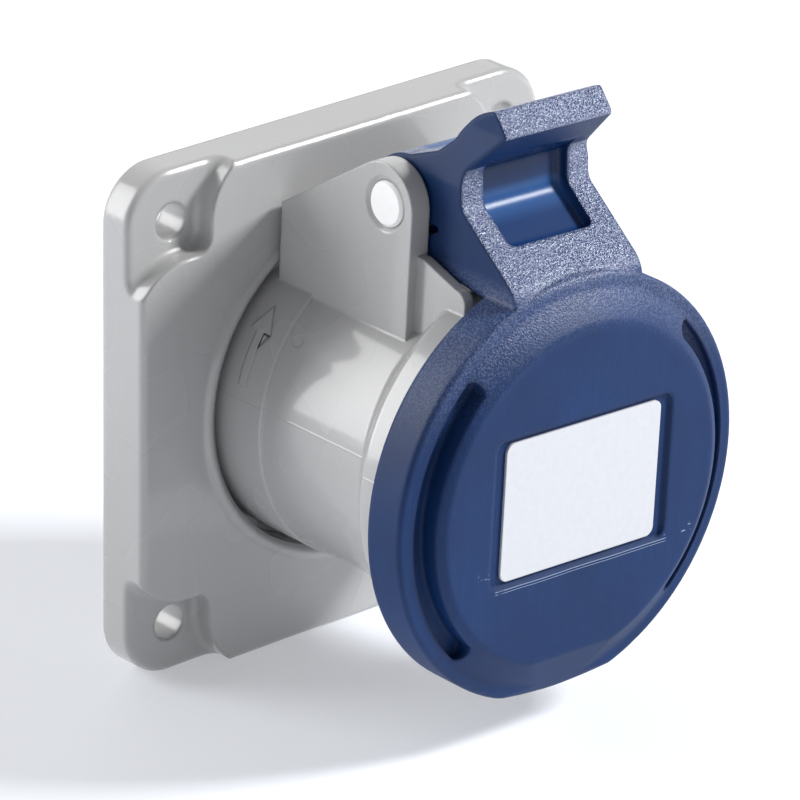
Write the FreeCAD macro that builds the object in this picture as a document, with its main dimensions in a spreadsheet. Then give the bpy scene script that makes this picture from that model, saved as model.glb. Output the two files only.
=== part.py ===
import FreeCAD, Part
import math
import os
import re

import Sketcher

# Panel socket, 16 A, two poles and earth, with a sprung lid.
# Frame: +Z up, +X to the right seen from the front, the front faces -Y.
# The origin is the centre of the flange's back face, which lies on the panel.
# The front half is modelled upright and then turned about Y to its locked rest.

# Driving sizes in millimetres and degrees
SIZES = [
    ("flange_width", 75.0, "width and height of the square flange"),
    ("flange_corner", 7.5, "corner radius of the flange"),
    ("flange_face", 8.5, "height of the raised face above the panel"),
    ("flange_pad", 5.2, "height of the four corner pads above the panel"),
    ("flange_wall", 2.6, "moulded wall of the flange"),
    ("edge_round", 1.0, "rounding of the flange's front edges"),
    ("hole_edge", 7.5, "distance of a panel screw from the flange's edges"),
    ("hole_radius", 2.65, "radius of a panel screw hole"),
    ("pad_width", 12.1, "width of a pad from the flange's edge"),
    ("pad_inner_round", 2.5, "rounding of a pad's inner corner"),
    ("pad_bend", 8.0, "where a pad's side starts to flare, from the flange's edge"),
    ("pad_spread", 16.4, "width of a pad at the flange's edge"),
    ("lip_bore", 21.4, "radius of the bore that the spigot turns in"),
    ("lip_height", 3.2, "thickness of the lip behind the collar"),
    ("well_gap", 1.05, "gap between the collar and its well"),
    ("bead_away", 1.1, "distance from the well's edge to the middle of the bead"),
    ("bead_half", 0.8, "half width of the bead"),
    ("bead_height", 0.6, "height of the bead above the raised face"),
    ("gasket_inner", 25.2, "inner radius of the panel gasket"),
    ("gasket_width", 2.2, "width of the panel gasket"),
    ("gasket_depth", 2.0, "thickness of the panel gasket"),
    ("gasket_gap", 0.1, "gap between the gasket and its groove"),
    ("hollow_reach", 19.0, "half width of a hollow behind the raised face"),
    ("running_gap", 0.08, "radial play of the spigot in the flange"),
    ("lug_radius", 23.1, "outer radius of the bayonet lugs"),
    ("lug_half", 3.2, "half width of a bayonet lug"),
    ("lug_height", 2.4, "thickness of a bayonet lug"),
    ("lug_play", 0.15, "play between lug and lip"),
    ("lug_count", 3, "number of bayonet lugs"),
    ("bayonet_turn", 25.0, "turn from locked to open"),
    ("front_turn", 2.23, "turn of the front half in its locked rest"),
    ("spigot_back", 3.0, "how far the spigot stands behind the panel face"),
    ("collar_back", 3.7, "back face of the collar"),
    ("collar_front", 16.8, "front end of the collar"),
    ("collar_step", 0.4, "step from the barrel up to the collar"),
    ("barrel_radius", 23.35, "outer radius of the barrel"),
    ("flare_start", 37.3, "where the barrel starts to flare"),
    ("flare_end", 41.7, "where the flare reaches the rim"),
    ("flare_round", 1.6, "rounding of the flare's two bends"),
    ("collar_round", 0.3, "rounding of the collar's front edge"),
    ("rim_round", 0.4, "rounding of the rim's front edge"),
    ("rim_radius", 27.7, "outer radius of the rim"),
    ("rim_front", 48.4, "front face of the rim"),
    ("rim_wall", 2.4, "thickness of the rim"),
    ("throat_back", 38.6, "back end of the inner flare"),
    ("throat_front", 42.9, "front end of the inner flare"),
    ("barrel_wall", 1.6, "wall of the barrel"),
    ("cavity_floor", 8.0, "shoulder that the contact carrier rests on"),
    ("core_bore", 17.5, "bore of the spigot round the contact carrier"),
    ("seal_height", 0.45, "thickness of the seal behind the collar"),
    ("key_half", 3.2, "half width of the keyway at six o'clock"),
    ("key_depth", 1.9, "depth of the keyway into the barrel's wall"),
    ("key_wall", 1.5, "wall round the keyway"),
    ("ear_inner", 11.9, "inner face of a hinge ear"),
    ("ear_thick", 3.2, "thickness of a hinge ear"),
    ("ear_back", 9.5, "back edge of an ear"),
    ("ear_back_top", 29.6, "height of an ear at its back edge"),
    ("ear_front", 35.6, "front edge of an ear"),
    ("ear_round", 6.0, "rounding of an ear's nose"),
    ("nose_drop", 0.2, "centre of an ear's nose below the hinge axis"),
    ("hinge_forward", 30.2, "hinge axis in front of the panel"),
    ("hinge_height", 35.7, "hinge axis above the socket's axis"),
    ("pin_radius", 3.2, "radius of the hinge pin"),
    ("pin_play", 0.05, "radial play of the lid on the pin"),
    ("pin_mouth", 0.7, "bevel round the pin's seat in an ear"),
    ("cheek_gap", 0.1, "inset of a cheek from the ear's inner face"),
    ("cheek_thick", 1.6, "thickness of the cheek in front of an ear"),
    ("cheek_top", 29.6, "height of a cheek at the ear"),
    ("cheek_front", 45.2, "front end of a cheek"),
    ("cheek_front_top", 27.3, "height of a cheek at its front"),
    ("cheek_round", 1.8, "rounding of a cheek's front corner"),
    ("lid_radius", 30.5, "radius of the lid's disc"),
    ("lid_drop", 1.1, "lid's centre below the socket's axis"),
    ("lid_back", 46.9, "back edge of the lid"),
    ("lid_rim", 53.1, "front of the lid's rim"),
    ("lid_face", 55.7, "front face of the lid"),
    ("lid_edge", 0.6, "rounding of the lid's front edge"),
    ("rim_inner", 28.6, "inner radius of the lid's flat rim"),
    ("face_radius", 24.4, "radius of the lid's raised face"),
    ("face_round", 0.9, "rounding at the raised face and at the rim's inner edge"),
    ("lid_gap", 0.5, "gap between the housing's rim and the lid's skirt"),
    ("lid_wall", 2.3, "wall of the lid"),
    ("seat_inner", 22.0, "inner radius of the lid gasket's seat"),
    ("seat_depth", 50.9, "seat of the lid gasket"),
    ("lid_seal_gap", 0.3, "gap between the lid gasket and the housing's rim"),
    ("lid_seal_reach", 3.8, "how far the lid gasket reaches inside the rim's edge"),
    ("lid_seal_side", 0.3, "gap round the lid gasket"),
    ("crescent_outer", 28.2, "outer radius of a crescent groove"),
    ("crescent_inner", 25.6, "inner radius of a crescent groove"),
    ("crescent_floor", 52.0, "floor of a crescent groove"),
    ("crescent_angle", 45.0, "angle of a crescent's ends from the middle"),
    ("crescent_end", 1.4, "rounding of a crescent's ends"),
    ("chin_height", 30.7, "lower edge of the lid below the socket's axis"),
    ("chin_half", 12.3, "half width of the lid's flattened chin"),
    ("chin_side", 29.2, "height of the chin's ends below the axis"),
    ("chin_round", 63.0, "radius of the chin"),
    ("bevel_half", 11.0, "half width of the chin's bevel"),
    ("bevel_top", 24.3, "upper edge of the chin's bevel below the axis"),
    ("bevel_depth", 52.5, "lower edge of the chin's bevel"),
    ("neck_half", 11.5, "half width of the lid's neck"),
    ("arm_thick", 2.6, "thickness of the neck's two arms"),
    ("neck_foot_up", 28.6, "height where the neck leaves the rim"),
    ("neck_top_y", 41.3, "top of the neck's slope, forward"),
    ("neck_top_rise", 1.9, "top of the neck's slope, above the hinge axis"),
    ("throat_y", 40.9, "root of the finger lip, forward"),
    ("throat_rise", 6.9, "root of the finger lip, above the hinge axis"),
    ("lip_low_y", 47.2, "lower front edge of the lip, forward"),
    ("lip_low_rise", 13.2, "lower front edge of the lip, above the hinge axis"),
    ("lip_top_y", 44.6, "upper edge of the lip, forward"),
    ("lip_top_rise", 16.3, "upper edge of the lip, above the hinge axis"),
    ("lip_back_y", 37.9, "foot of the lip's back, forward"),
    ("lip_back_rise", 10.6, "foot of the lip's back, above the hinge axis"),
    ("lip_back_round", 10.2, "radius of the lip's back"),
    ("nape_y", 35.3, "front edge of the hood over the hinge, forward"),
    ("nape_rise", 8.3, "front edge of the hood over the hinge, above the hinge axis"),
    ("knuckle_radius", 6.3, "radius of the lid's hinge knuckle"),
    ("knuckle_inner", 4.7, "hollow of the knuckle round the spring"),
    ("arm_under_y", 36.0, "bend of the arm's lower edge, forward"),
    ("arm_under_up", 28.2, "bend of the arm's lower edge, height"),
    ("arm_foot_up", 26.7, "arm's lower edge at the lid's back"),
    ("neck_sink", 0.2, "how far the neck starts behind the rim's front"),
    ("neck_low", 24.0, "height where the neck starts inside the disc"),
    ("neck_wall", 2.4, "wall of the neck"),
    ("foot_round", 4.5, "rounding between the neck's slope and the disc's front"),
    ("throat_round", 2.4, "rounding of the neck's front under the lip"),
    ("lip_edge", 0.7, "rounding of the lip's front edges"),
    ("nape_round", 2.0, "rounding of the bends behind the lip"),
    ("scoop_round", 2.2, "rounding of the bend in the scoop"),
    ("lip_half", 9.5, "half width of the lip's end"),
    ("lip_taper_up", 40.5, "height where the neck starts to narrow"),
    ("scoop_half", 7.6, "half width of the scoop under the lip"),
    ("scoop_depth", 1.7, "depth of the scoop"),
    ("scoop_foot_ratio", 0.51, "lower edge of the scoop, as a share of the slope"),
    ("scoop_bend_ratio", 1.05, "bend of the scoop's floor, as a share of the slope"),
    ("scoop_mouth_ratio", 0.3, "where the scoop's cut starts outside, as a share of the slope"),
    ("scoop_soft", 1.2, "rounding of the scoop's inner corners"),
    ("hollow_foot_ratio", 0.18, "lower end of the neck's hollow, as a share of the slope"),
    ("hollow_step_ratio", 0.42, "where the hollow starts to step in, as a share of the slope"),
    ("hollow_deep_ratio", 0.55, "where the hollow clears the scoop, as a share of the slope"),
    ("cup_step", 0.4, "how far the lid's skirt stands behind the start of its cup"),
    ("overrun", 1.0, "how far a cut reaches past the surface that it opens"),
    ("bevel_past", 1.6, "how far the bevel's cut reaches below the chin"),
    ("slot_inner", 1.3, "inner radius of the curved slot in an arm"),
    ("slot_outer", 2.6, "outer radius of the curved slot in an arm"),
    ("slot_depth", 1.2, "depth of the curved slot in an arm"),
    ("slot_y", 36.2, "centre of the curved slot, forward"),
    ("slot_up", 31.3, "centre of the curved slot, height"),
    ("slot_from", -10, "angle where the curved slot starts"),
    ("slot_to", 110, "angle where the curved slot ends"),
    ("label_wide", 28.2, "width of the label"),
    ("label_high", 20.0, "height of the label"),
    ("label_thick", 0.4, "thickness of the label"),
    ("label_round", 1.3, "corner radius of the label"),
    ("label_low", 0.66, "label's centre below the socket's axis"),
    ("recess_wide", 32.2, "width of the label's recess"),
    ("recess_high", 21.5, "height of the label's recess"),
    ("recess_depth", 0.6, "depth of the label's recess"),
    ("recess_round", 1.6, "corner radius of the label's recess"),
    ("spring_wire", 0.45, "radius of the spring's wire"),
    ("spring_radius", 4.0, "mean radius of the spring's coils"),
    ("spring_pitch", 1.9, "pitch of the spring's coils"),
    ("spring_turns", 3.25, "turns of the spring"),
    ("spring_half", 3.2, "start of the coils from the middle"),
    ("spring_gap", 0.1, "gap between the spring's leg and the barrel"),
    ("spring_leg_front", 7.1, "length of the leg on the lid"),
    ("core_radius", 17.0, "radius of the contact carrier's core"),
    ("core_front", 43.4, "front face of the carrier's core"),
    ("core_foot", 11.0, "front of the carrier's foot flange"),
    ("foot_gap", 0.15, "gap round the carrier's foot flange"),
    ("core_back", 13.0, "back end of the contact chambers behind the panel face"),
    ("core_edge", 0.6, "bevel of the core's front edge"),
    ("core_wall", 1.2, "wall of the carrier's cup"),
    ("core_play", 0.2, "inset of the insulator's rear plate from the spigot's bore"),
    ("tube_wall", 1.1, "wall of an insulating tube"),
    ("tube_gap", 0.1, "play of a tube between the carrier and the rear plate"),
    ("post_radius", 2.4, "radius of a screw post in the carrier"),
    ("post_long", 10.0, "length of a screw post"),
    ("pilot_extra", 0.5, "how much deeper a post is drilled than its screw goes in"),
    ("pitch_radius", 8.75, "distance of a contact from the socket's axis"),
    ("phase_pin", 2.5, "radius of a live or neutral plug pin"),
    ("earth_pin", 3.5, "radius of the earth plug pin"),
    ("pin_fit", 0.05, "radial play of a plug pin in its sleeve"),
    ("sleeve_wall", 1.1, "wall of a contact sleeve"),
    ("ring_gap", 0.03, "gap between a spring ring and its sleeve"),
    ("ring_wall", 0.7, "thickness of a contact's spring ring"),
    ("ring_width", 3.0, "width of a contact's spring ring"),
    ("ring_place", 38.5, "middle of the spring rings"),
    ("chamber_gap", 0.3, "gap round a contact's spring ring"),
    ("front_skin", 2.4, "wall in front of the contacts"),
    ("entry_gap", 0.5, "play of a plug pin in the carrier's front"),
    ("sleeve_floor", 20.0, "bottom of the contact sleeves"),
    ("seat_gap", 0.1, "play of a contact's rear part in its chamber"),
    ("seat_front", 14.0, "front of a contact's thick rear part"),
    ("contact_back", 12.9, "back end of the contacts behind the panel face"),
    ("wire_radius", 1.9, "radius of the wire hole in a contact"),
    ("wire_depth", 11.0, "depth of the wire hole"),
    ("clamp_place", 4.8, "terminal screws behind the panel face"),
    ("clamp_radius", 1.6, "radius of a terminal screw"),
    ("clamp_head", 2.3, "radius of a terminal screw's head"),
    ("clamp_head_high", 1.8, "height of a terminal screw's head"),
    ("clamp_access", 2.6, "radius of the screwdriver's way to a screw"),
    ("clamp_lift", 0.3, "gap under a terminal screw's head"),
    ("slot_width", 0.8, "width of the slots in screws and sleeves"),
    ("plate_thick", 3.0, "wall behind the contacts"),
    ("plate_hole", 2.3, "radius of a wire's way through that wall"),
    ("plate_screw", 1.25, "radius of the screws in the insulator"),
    ("screw_gap", 0.15, "play of a small screw in the piece that it holds"),
    ("plate_screw_place", 13.6, "distance of the long screws from the axis"),
    ("plate_screw_long", 8.0, "how deep the long screws go into the carrier's posts"),
    ("screw_head", 2.1, "radius of the small screws' heads"),
    ("screw_head_high", 1.6, "height of the small screws' heads"),
    ("foot_screw_place", 19.5, "distance of the carrier's screws from the axis"),
    ("foot_screw_long", 8.5, "length of the carrier's screws in the housing"),
]

# Sizes that follow from the driving ones
DERIVED = [
    ("collar_radius", "barrel_radius + collar_step", "radius of the collar"),
    ("collar_well", "collar_radius + well_gap", "radius of the well round the collar"),
    ("bead_radius", "collar_well + bead_away", "radius of the bead round the well"),
    ("cavity_radius", "barrel_radius - barrel_wall", "inner radius of the barrel, round the plug's collar"),
    ("lid_seal_inner", "rim_radius - lid_seal_reach", "inner radius of the lid gasket"),
    ("spigot_radius", "lip_bore - running_gap", "radius of the spigot"),
    ("hole_spacing", "flange_width - 2 * hole_edge", "distance between the panel screws, both ways"),
    ("pad_leg", "flange_width / 2 - pad_width", "distance from the centre lines to a pad's inner sides"),
    ("pad_straight", "flange_width / 2 - pad_bend", "where a pad's side starts to flare"),
    ("pad_flare", "flange_width / 2 - pad_spread", "where the flared side meets the flange's edge"),
    ("pad_flare_round", "((flange_width / 2 - pad_straight)^2 + (pad_leg - pad_flare)^2)"
     " / (2 * (pad_leg - pad_flare))", "radius of a pad's flared side, which runs out straight"),
    ("ear_nose", "hinge_height - nose_drop", "height of the centre of an ear's nose"),
    ("neck_top_up", "hinge_height + neck_top_rise", "top of the neck's slope, height"),
    ("throat_up", "hinge_height + throat_rise", "root of the finger lip, height"),
    ("lip_low_up", "hinge_height + lip_low_rise", "lower front edge of the lip, height"),
    ("lip_top_up", "hinge_height + lip_top_rise", "upper edge of the lip, height"),
    ("lip_back_up", "hinge_height + lip_back_rise", "foot of the lip's back, height"),
    ("nape_up", "hinge_height + nape_rise", "front edge of the hood over the hinge, height"),
    ("spring_leg_down", "hinge_height - barrel_radius - spring_wire - spring_gap",
     "length of the leg on the barrel"),
    ("nose_y", "-ear_front + ear_round", "centre of an ear's nose"),
    ("nose_run", "-ear_back - nose_y", "from the nose's centre to the ear's upper back corner"),
    ("nose_rise", "ear_back_top - ear_nose", "the same, in height"),
    ("nose_away", "sqrt(nose_run^2 + nose_rise^2)", "the same, in a straight line"),
    ("nose_cos", "ear_round / nose_away", "cosine of the angle at the nose's centre"),
    ("nose_sin", "sqrt(1 - nose_cos^2)", "sine of that angle"),
    ("touch_y", "nose_y + ear_round * (nose_cos * nose_run - nose_sin * nose_rise) / nose_away",
     "where the ear's top line touches the nose, forward"),
    ("touch_up", "ear_nose + ear_round * (nose_cos * nose_rise + nose_sin * nose_run) / nose_away",
     "where the ear's top line touches the nose, height"),
    ("slope_run", "lid_rim - neck_sink - neck_top_y", "depth of the neck's slope"),
    ("slope_rise", "neck_top_up - neck_foot_up", "height of the neck's slope"),
    ("slope_long", "sqrt(slope_run^2 + slope_rise^2)", "length of the neck's slope"),
    ("foot_reach", "foot_round * slope_run / (slope_long + slope_rise)",
     "distance from the slope's corner to its rounding's ends"),
    ("inward_y", "slope_rise / slope_long", "inward direction of the neck's slope, forward"),
    ("inward_up", "-slope_run / slope_long", "inward direction of the neck's slope, height"),
    ("cup_radius", "rim_radius + lid_gap", "inner radius of the lid's skirt"),
    ("chamber_front", "core_front - front_skin", "front end of the contact chambers"),
    ("flare_long", "sqrt((flare_end - flare_start)^2 + (rim_radius - barrel_radius)^2)",
     "length of the flare"),
    ("flare_cos", "(flare_end - flare_start) / flare_long", "cosine of the flare's angle"),
    ("flare_sin", "(rim_radius - barrel_radius) / flare_long", "sine of the flare's angle"),
    ("flare_cut", "flare_round * (1 - flare_cos) / flare_sin",
     "length that a rounded bend takes off the flare"),
]

doc = FreeCAD.newDocument("panel_socket")
sheet = doc.addObject("Spreadsheet::Sheet", "Sizes")
ALIASES = {name for name, size, note in SIZES + DERIVED}
for row, (name, size, note) in enumerate(SIZES + DERIVED, start=1):
    sheet.set(f"A{row}", name)
    sheet.set(f"B{row}", f"={size}" if isinstance(size, str) else str(size))
    sheet.set(f"C{row}", note)
    sheet.setAlias(f"B{row}", name)
doc.recompute()

YZ, XZ, XY = "YZ_Plane", "XZ_Plane", "XY_Plane"


# Formulas and sketches

def formula(text):
    """A formula in the sheet's aliases, as the document's objects read it."""
    def place(found):
        word = found.group()
        return "Sizes." + word if word in ALIASES else word
    return re.sub(r"[A-Za-z_]\w*", place, str(text))


def number(text):
    """The value of a formula now."""
    value = sheet.evalExpression(formula(text))
    return float(getattr(value, "Value", value))


def bind(thing, prop, text):
    thing.setExpression(prop, formula(text))


def new_body(name, spin="front_turn"):
    """An empty body, turned about Y by a formula in degrees; positive is clockwise in front."""
    body = doc.addObject("PartDesign::Body", name)
    body.Label = name
    body.Placement = FreeCAD.Placement(
        FreeCAD.Vector(), FreeCAD.Rotation(FreeCAD.Vector(0, 1, 0), number(spin)))
    if spin != "0":
        bind(body, "Placement.Rotation.Angle", f"({spin}) * 1 deg")
    return body


def origin_plane(body, role):
    return next(f for f in body.Origin.OriginFeatures if f.Role == role)


def pin_point(sketch, geo, pos, across, up):
    """Ties one point of a sketch to two formulas."""
    for kind, axis, text in (("DistanceX", -2, across), ("DistanceY", -1, up)):
        if text == "0":
            sketch.addConstraint(Sketcher.Constraint("PointOnObject", geo, pos, axis))
            continue
        index = sketch.addConstraint(Sketcher.Constraint(kind, -1, 1, geo, pos, number(text)))
        bind(sketch, f"Constraints[{index}]", text)


def arc_between(start, end, radius, side):
    """The short arc between two points; side is 1 where its centre lies to the left."""
    chord = end - start
    rise = max(radius ** 2 - (chord.Length / 2) ** 2, 0.0) ** 0.5
    left = FreeCAD.Vector(-chord.y, chord.x, 0).normalize()
    centre = (start + end) * 0.5 + left * (rise * side)
    first, last = (start, end) if side > 0 else (end, start)
    angles = [math.atan2(p.y - centre.y, p.x - centre.x) for p in (first, last)]
    if angles[1] < angles[0]:
        angles[1] += 2 * math.pi
    return Part.ArcOfCircle(Part.Circle(centre, FreeCAD.Vector(0, 0, 1), radius), *angles)


def add_loop(sketch, loop):
    """One closed outline. A corner is (across, up), with (radius, side) where an arc follows."""
    points = [FreeCAD.Vector(number(p[0]), number(p[1]), 0) for p in loop]
    first = sketch.GeometryCount
    count = len(loop)
    ends = []
    for i, corner in enumerate(loop):
        start, end = points[i], points[(i + 1) % count]
        if len(corner) == 2:
            sketch.addGeometry(Part.LineSegment(start, end), False)
            ends.append((1, 2))
            continue
        radius, side = corner[2]
        sketch.addGeometry(arc_between(start, end, number(radius), side), False)
        ends.append((1, 2) if side > 0 else (2, 1))
    for i, corner in enumerate(loop):
        geo, following = first + i, first + (i + 1) % count
        sketch.addConstraint(
            Sketcher.Constraint("Coincident", geo, ends[i][1], following, ends[(i + 1) % count][0]))
        pin_point(sketch, geo, ends[i][0], corner[0], corner[1])
        if len(corner) == 3:
            index = sketch.addConstraint(Sketcher.Constraint("Radius", geo, number(corner[2][0])))
            bind(sketch, f"Constraints[{index}]", corner[2][0])


def add_circle(sketch, across, up, radius):
    centre = FreeCAD.Vector(number(across), number(up), 0)
    geo = sketch.addGeometry(Part.Circle(centre, FreeCAD.Vector(0, 0, 1), number(radius)), False)
    pin_point(sketch, geo, 3, across, up)
    index = sketch.addConstraint(Sketcher.Constraint("Radius", geo, number(radius)))
    bind(sketch, f"Constraints[{index}]", radius)


def new_sketch(body, name, role, loops=(), circles=(), lift="0", shift="0", spin="0"):
    """A sketch on an origin plane, lifted along its normal, shifted up and spun in its plane."""
    sketch = body.newObject("Sketcher::SketchObject", f"{body.Name}_{name}")
    sketch.AttachmentSupport = [(origin_plane(body, role), "")]
    sketch.MapMode = "FlatFace"
    sketch.AttachmentOffset = FreeCAD.Placement(
        FreeCAD.Vector(0, number(shift), number(lift)),
        FreeCAD.Rotation(FreeCAD.Vector(0, 0, 1), number(spin)))
    for prop, text in (("Base.y", shift), ("Base.z", lift), ("Rotation.Angle", spin)):
        if text != "0":
            unit = " * 1 deg" if text == spin and prop == "Rotation.Angle" else ""
            bind(sketch, f"AttachmentOffset.{prop}", f"({text}){unit}")
    for loop in loops:
        add_loop(sketch, loop)
    for circle in circles:
        add_circle(sketch, *circle)
    doc.recompute()
    return sketch


# Features

def feature(body, kind, profile, name):
    item = body.newObject(f"PartDesign::{kind}", f"{body.Name}_{name}")
    item.Profile = profile
    return item


def settle(item, grows):
    """Recomputes and makes sure that a feature adds or cuts material as it should."""
    before = item.BaseFeature.Shape.Volume if item.BaseFeature else 0.0
    doc.recompute()
    if "Invalid" in item.State or "Error" in item.State:
        raise RuntimeError(f"{item.Name}: {item.State} {item.getStatusString()}")
    change = item.Shape.Volume - before
    if change * (1 if grows else -1) <= 1e-6:
        raise RuntimeError(f"{item.Name} changes the volume by {change:.4f}")
    return item


def pad(body, name, sketch, length, both=False, reverse=False):
    item = feature(body, "Pad", sketch, name)
    bind(item, "Length", length)
    item.Midplane = both
    item.Reversed = reverse
    return settle(item, True)


def pocket(body, name, sketch, length, both=False, reverse=False):
    item = feature(body, "Pocket", sketch, name)
    bind(item, "Length", length)
    item.Midplane = both
    item.Reversed = reverse
    return settle(item, False)


def turn(body, name, sketch, cut=False):
    """Turns a half outline once round the sketch's horizontal axis."""
    item = feature(body, "Groove" if cut else "Revolution", sketch, name)
    item.ReferenceAxis = (sketch, ["H_Axis"])
    item.Angle = 360.0
    return settle(item, not cut)


def around(body, name, item, sketch, count):
    """Repeats a feature evenly round the normal axis of a sketch."""
    pattern = body.newObject("PartDesign::PolarPattern", f"{body.Name}_{name}")
    pattern.Originals = [item]
    pattern.Axis = (sketch, ["N_Axis"])
    pattern.Angle = 360.0
    bind(pattern, "Occurrences", count)
    body.Tip = pattern
    doc.recompute()
    return pattern


def mirrored(body, name, items):
    """Repeats features on the other side of the middle plane."""
    pattern = body.newObject("PartDesign::Mirrored", f"{body.Name}_{name}")
    pattern.Originals = items
    pattern.MirrorPlane = (origin_plane(body, YZ), [""])
    body.Tip = pattern
    doc.recompute()
    return pattern


def edged(body, name, kind, radius, chosen):
    """A Fillet or Chamfer on the edges for which chosen(edge) is true."""
    base = body.Tip
    names = [f"Edge{i}" for i, edge in enumerate(base.Shape.Edges, start=1) if chosen(edge)]
    if not names:
        raise RuntimeError(f"{name}: no edge is chosen")
    item = body.newObject(f"PartDesign::{kind}", f"{body.Name}_{name}")
    item.Base = (base, names)
    bind(item, "Radius" if kind == "Fillet" else "Size", radius)
    doc.recompute()
    if "Invalid" in item.State or item.Shape.isNull() or not item.Shape.isValid():
        raise RuntimeError(f"{item.Name} fails on {len(names)} edges: {item.getStatusString()}")
    return item


def flat_at(edge, axis, place):
    """True for an edge that lies in the plane where the coordinate is place."""
    box = edge.BoundBox
    low, high = getattr(box, axis + "Min"), getattr(box, axis + "Max")
    return abs(low - place) < 1e-4 and abs(high - place) < 1e-4


def halfway(edge):
    return edge.valueAt((edge.FirstParameter + edge.LastParameter) / 2)


def places(*pairs):
    """Values of some pairs of formulas, forward and height."""
    return [(number(forward), number(up)) for forward, up in pairs]


def crosswise(edge, spots):
    """True for an edge along X at one of the spots."""
    box, middle = edge.BoundBox, halfway(edge)
    if max(box.YLength, box.ZLength) > 1e-3:
        return False
    return any(abs(middle.y - y) < 1e-3 and abs(middle.z - z) < 1e-3 for y, z in spots)


def rounded_box(half_wide, half_high, radius, up="0"):
    """Corners of a rounded rectangle with its middle at (0, up)."""
    wide, high = f"({half_wide})", f"({half_high})"
    corner = (radius, 1)
    return [
        (f"{wide} - {radius}", f"{up} - {high}", corner),
        (wide, f"{up} - {high} + {radius}"),
        (wide, f"{up} + {high} - {radius}", corner),
        (f"{wide} - {radius}", f"{up} + {high}"),
        (f"-{wide} + {radius}", f"{up} + {high}", corner),
        (f"-{wide}", f"{up} + {high} - {radius}"),
        (f"-{wide}", f"{up} - {high} + {radius}", corner),
        (f"-{wide} + {radius}", f"{up} - {high}"),
    ]


def sector(half, inner, outer):
    """A short block across the radius, with its outer side on a circle."""
    return [
        (f"-{half}", inner),
        (half, inner),
        (half, f"sqrt({outer}^2 - {half}^2)", (outer, 1)),
        (f"-{half}", f"sqrt({outer}^2 - {half}^2)"),
    ]


# Flange that is screwed to the panel

def make_flange():
    body = new_body("mounting_flange", spin="0")
    edge = "flange_width / 2"
    square = new_sketch(body, "square", XZ, [rounded_box(edge, edge, "flange_corner")])
    pad(body, "slab", square, "flange_face")
    face = -number("flange_face")
    edged(body, "slab_edges", "Fillet", "edge_round", lambda e: flat_at(e, "Y", face))

    bend = "pad_leg + pad_inner_round"
    beyond = "flange_width / 2 + 1"
    corner = [
        (beyond, "pad_flare"),
        (edge, "pad_flare", ("pad_flare_round", 1)),
        ("pad_straight", "pad_leg"),
        (bend, "pad_leg", ("pad_inner_round", -1)),
        ("pad_leg", bend),
        ("pad_leg", "pad_straight", ("pad_flare_round", 1)),
        ("pad_flare", edge),
        ("pad_flare", beyond),
        (beyond, beyond),
    ]
    step = new_sketch(body, "step", XZ, [corner], lift="flange_face")
    low = pocket(body, "corner_pad", step, "flange_face - flange_pad")
    around(body, "corner_pads", low, step, "4")

    low_face, border = -number("flange_pad"), number("flange_width / 2 - flange_corner / 2")
    edged(body, "pad_edges", "Fillet", "edge_round",
          lambda e: flat_at(e, "Y", low_face)
          and max(abs(halfway(e).x), abs(halfway(e).z)) > border)

    spread = "hole_spacing / 2"
    screw = new_sketch(body, "screw", XZ, circles=[(spread, spread, "hole_radius")],
                       lift="flange_face")
    hole = pocket(body, "screw_hole", screw, "flange_face + 1")
    around(body, "screw_holes", hole, screw, "4")

    well = new_sketch(body, "well", XZ, circles=[("0", "0", "collar_well")], lift="flange_face")
    pocket(body, "collar_well", well, "flange_face - lip_height")
    bore = new_sketch(body, "bore", XZ, circles=[("0", "0", "lip_bore")], lift="flange_face")
    pocket(body, "lip_bore", bore, "flange_face + 1")

    foot = "(gasket_inner + gasket_width + gasket_gap + flange_wall)"
    rise = f"sqrt({foot}^2 - hollow_reach^2)"
    top = "flange_width / 2 - flange_wall"
    hollow = [
        ("-hollow_reach", top),
        ("-hollow_reach", rise, (foot, -1)),
        ("hollow_reach", rise),
        ("hollow_reach", top),
    ]
    back = new_sketch(body, "back", XZ, [hollow])
    first = pocket(body, "hollow", back, "flange_face - flange_wall", reverse=True)
    around(body, "hollows", first, back, "4")

    groove = new_sketch(body, "groove", XZ, circles=[
        ("0", "0", "gasket_inner - gasket_gap"),
        ("0", "0", "gasket_inner + gasket_width + gasket_gap")])
    pocket(body, "gasket_groove", groove, "gasket_depth", reverse=True)

    notch = new_sketch(
        body, "notch", XZ,
        [sector("(lug_half + 2 * lug_play)", "lip_bore - 1.5", "(lug_radius + lug_play)")],
        spin="bayonet_turn - front_turn")
    cut = pocket(body, "lug_notch", notch, "lip_height + 1", reverse=True)
    around(body, "lug_notches", cut, notch, "lug_count")

    bead = new_sketch(body, "bead", YZ, [[
        ("-flange_face + 0.1", "bead_radius - bead_half"),
        ("-flange_face", "bead_radius - bead_half",
         ("(bead_half^2 + bead_height^2) / (2 * bead_height)", -1)),
        ("-flange_face", "bead_radius + bead_half"),
        ("-flange_face + 0.1", "bead_radius + bead_half"),
    ]])
    turn(body, "bead", bead)
    return body


def make_ring(name, inner, outer, near, thick, spin="front_turn"):
    """A flat ring across Y; near is the distance of its back side in front of the panel."""
    body = new_body(name, spin)
    sketch = new_sketch(body, "ring", XZ, circles=[("0", "0", inner), ("0", "0", outer)],
                        lift=near)
    pad(body, "ring", sketch, thick)
    return body


# Front housing: spigot, collar, barrel, rim and hinge ears

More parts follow.
